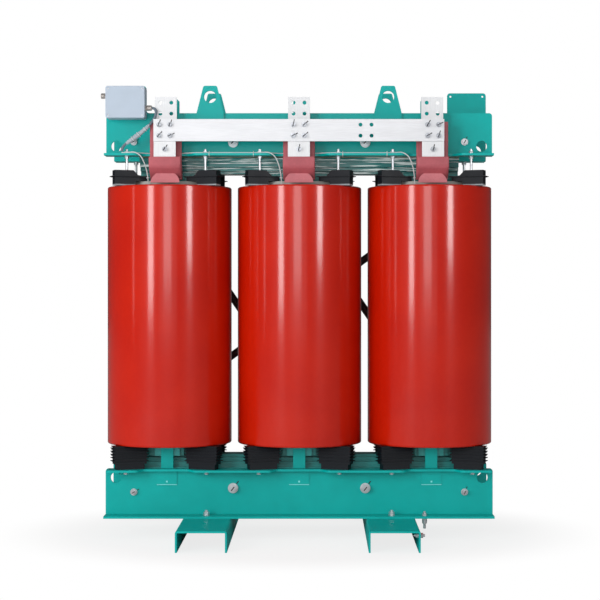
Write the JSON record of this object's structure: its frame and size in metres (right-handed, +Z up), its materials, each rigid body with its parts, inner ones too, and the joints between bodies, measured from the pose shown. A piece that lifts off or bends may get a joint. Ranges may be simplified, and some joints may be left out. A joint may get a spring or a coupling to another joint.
{
  "type": "dry type transformer",
  "caption": "Three-phase cast-resin dry-type transformer on a clamped steel frame, with low-voltage bars in front and delta links behind.",
  "frame": {"origin": "on the floor under the middle of the centre limb", "axes": "+Z up, +X along the three coils to the right seen from the low-voltage side, -Y towards the low-voltage side"},
  "size_m": [1.805, 1.234, 2.078],
  "materials": {
    "frame_green": "satin enamel",
    "core_green": "satin enamel on laminated steel",
    "hv_resin": "gloss cast resin",
    "lv_resin": "matt resin ends",
    "tinned_bar": "tinned, brushed",
    "sleeve": "heat-shrunk sleeve",
    "block": "moulded compound",
    "pad": "elastomer",
    "insulation": "pressboard",
    "zinc": "zinc plated",
    "delta_black": "black insulated tube",
    "brass": "machined",
    "box_grey": "powder coat",
    "cable_grey": "screened cable",
    "lead_white": "sensor lead",
    "terminal_beige": "terminal strip"
  },
  "bodies": {
    "root": {"core_limb_a": "core_green", "core_limb_b": "core_green", "core_limb_c": "core_green", "bottom_yoke": "core_green", "top_yoke": "core_green", "tie_plates": "frame_green", "yoke_pads": "insulation", "bottom_clamp_front": "frame_green", "bottom_clamp_rear": "frame_green", "top_clamp_front": "frame_green", "top_clamp_rear": "frame_green", "foot_left": "frame_green", "foot_right": "frame_green", "hv_coil_a": "hv_resin", "hv_coil_b": "hv_resin", "hv_coil_c": "hv_resin", "lv_coil_a": "lv_resin", "lv_coil_b": "lv_resin", "lv_coil_c": "lv_resin", "bottom_blocks_a": "block", "bottom_blocks_b": "block", "bottom_blocks_c": "block", "top_blocks_a": "block", "top_blocks_b": "block", "top_blocks_c": "block", "phase_riser_a": "tinned_bar", "phase_riser_b": "tinned_bar", "phase_riser_c": "tinned_bar", "neutral_riser_a": "tinned_bar", "neutral_riser_b": "tinned_bar", "neutral_riser_c": "tinned_bar", "phase_sleeves": "sleeve", "neutral_sleeves": "sleeve", "neutral_bar": "tinned_bar", "neutral_bolts": "zinc", "yoke_studs": "zinc", "foot_bolts": "zinc", "seat_bolts": "zinc", "press_studs": "zinc", "press_pads": "pad", "earth_bolts": "zinc", "delta_tube_ab": "delta_black", "delta_tube_bc": "delta_black", "delta_tube_ca": "delta_black", "hv_posts": "brass", "tap_posts": "brass", "tap_links": "tinned_bar", "box_base": "box_grey", "box_lid": "box_grey", "lid_screws": "zinc", "terminal_strip": "terminal_beige", "gland_left": "brass", "gland_right": "brass", "sensor_cable": "cable_grey", "sensor_leads": "lead_white"}
  },
  "joints": []
}
